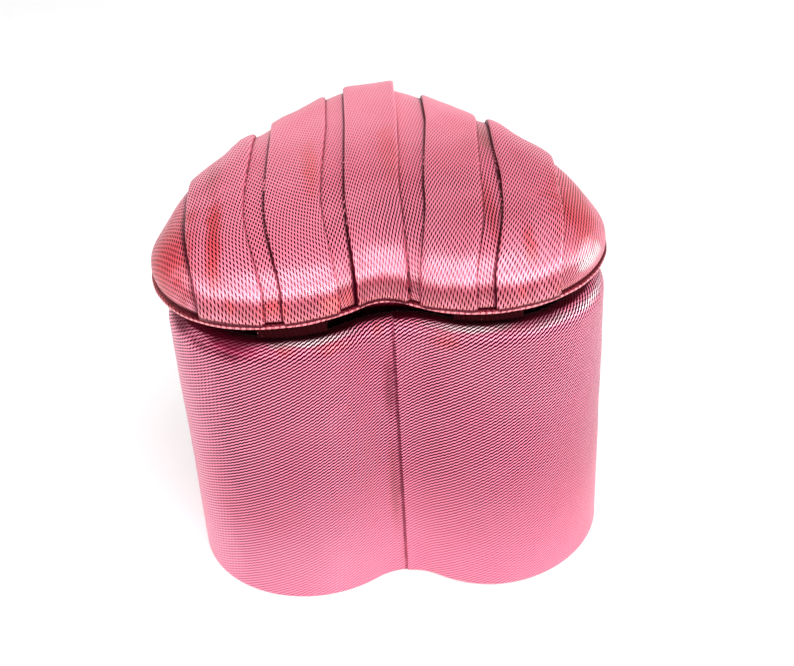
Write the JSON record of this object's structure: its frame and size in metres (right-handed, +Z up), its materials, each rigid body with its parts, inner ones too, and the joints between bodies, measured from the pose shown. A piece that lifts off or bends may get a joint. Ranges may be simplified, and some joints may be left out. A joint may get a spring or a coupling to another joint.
{
  "type": "heart-shaped jewelry box",
  "caption": "Small heart-shaped jewelry box covered in satin, with a hollow body and a padded lid with raised pleats that opens on two cloth hinges at the cleft side.",
  "frame": {"origin": "middle of the body's heart-shaped outline, at the plane that the box stands on", "axes": "+Z up; +Y from the heart's cleft, where the hinges are, towards its point; +X across the two lobes"},
  "size_m": [0.0706, 0.0715, 0.0646],
  "materials": {
    "wall_satin": "twilled satin with a soft sheen",
    "lid_satin": "twilled satin with a soft sheen",
    "pleat_satin": "twilled satin with a soft sheen",
    "hinge_cloth": "matt ribbon",
    "lining_cloth": "plain satin",
    "base_card": "matt card"
  },
  "bodies": {
    "box": {"base_card": "base_card", "body_wall": "wall_satin", "hinge_left_rim": "hinge_cloth", "hinge_right_rim": "hinge_cloth"},
    "lid": {"lid_board": "lid_satin", "lid_lining": "lining_cloth", "lid_pad": "lid_satin", "pleat_band_1": "pleat_satin", "pleat_band_2": "pleat_satin", "pleat_band_3": "pleat_satin", "pleat_band_4": "pleat_satin", "pleat_band_5": "pleat_satin", "hinge_left_lid": "hinge_cloth", "hinge_right_lid": "hinge_cloth"}
  },
  "joints": [
    {"name": "lid_hinge", "type": "hinge", "parent": "box", "child": "lid", "pos_m": [0, -0.03325, 0.0509], "axis": [1, 0, 0], "range_deg": [0, 110]}
  ]
}
